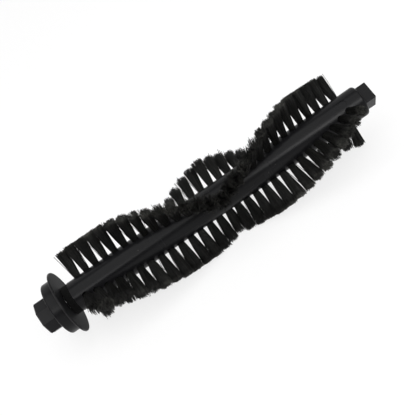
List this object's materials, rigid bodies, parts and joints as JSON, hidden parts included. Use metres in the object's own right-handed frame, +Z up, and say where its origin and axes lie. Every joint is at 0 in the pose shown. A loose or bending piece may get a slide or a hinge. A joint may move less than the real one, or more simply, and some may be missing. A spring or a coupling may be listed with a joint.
{
  "type": "vacuum brush roller",
  "caption": "Robot vacuum main-brush roller: a black plastic core with V-shaped rows of bristle tufts, a square drive stub and a flanged bearing cap that turns on its axle.",
  "frame": {"origin": "on the axle, halfway along the roller", "axes": "+X along the axle, from the bearing cap's nose to the square drive stub; +Z up, with the roller lying on its bristle tips"},
  "size_m": [0.179, 0.0422, 0.0416],
  "materials": {
    "core_plastic": "satin black moulded plastic",
    "cap_plastic": "satin black moulded plastic",
    "bristle": "black nylon bristles, trimmed",
    "felt": "black pressed felt",
    "steel": "ground steel",
    "spring_steel": "dark spring steel",
    "bearing_steel": "polished bearing steel",
    "cage_brass": "pressed brass",
    "anchor_wire": "flat brass wire"
  },
  "bodies": {
    "roller": {"roller_core": "core_plastic", "bristle_row_1": "bristle", "bristle_row_2": "bristle", "bristle_row_3": "bristle", "row_1_anchors": "anchor_wire", "row_2_anchors": "anchor_wire", "row_3_anchors": "anchor_wire", "axle_pin": "steel", "retaining_clip": "spring_steel", "spacer_sleeve": "steel", "felt_seal": "felt", "bearing_inner_ring": "bearing_steel"},
    "ball_train": {"bearing_balls": "bearing_steel", "bearing_cage": "cage_brass"},
    "cap": {"bearing_cap": "cap_plastic", "bearing_outer_ring": "bearing_steel", "bearing_outer_shield": "steel", "bearing_inner_shield": "steel"}
  },
  "joints": [
    {"name": "cap_spin", "type": "hinge", "parent": "roller", "child": "cap", "pos_m": [-0.0783, 0, 0], "axis": [1, 0, 0], "continuous": true},
    {"name": "ball_train_spin", "type": "hinge", "parent": "roller", "child": "ball_train", "pos_m": [-0.0783, 0, 0], "axis": [1, 0, 0], "continuous": true}
  ],
  "couplings": [
    {"joint": "ball_train_spin", "follows": "cap_spin", "ratio": 0.6412}
  ]
}
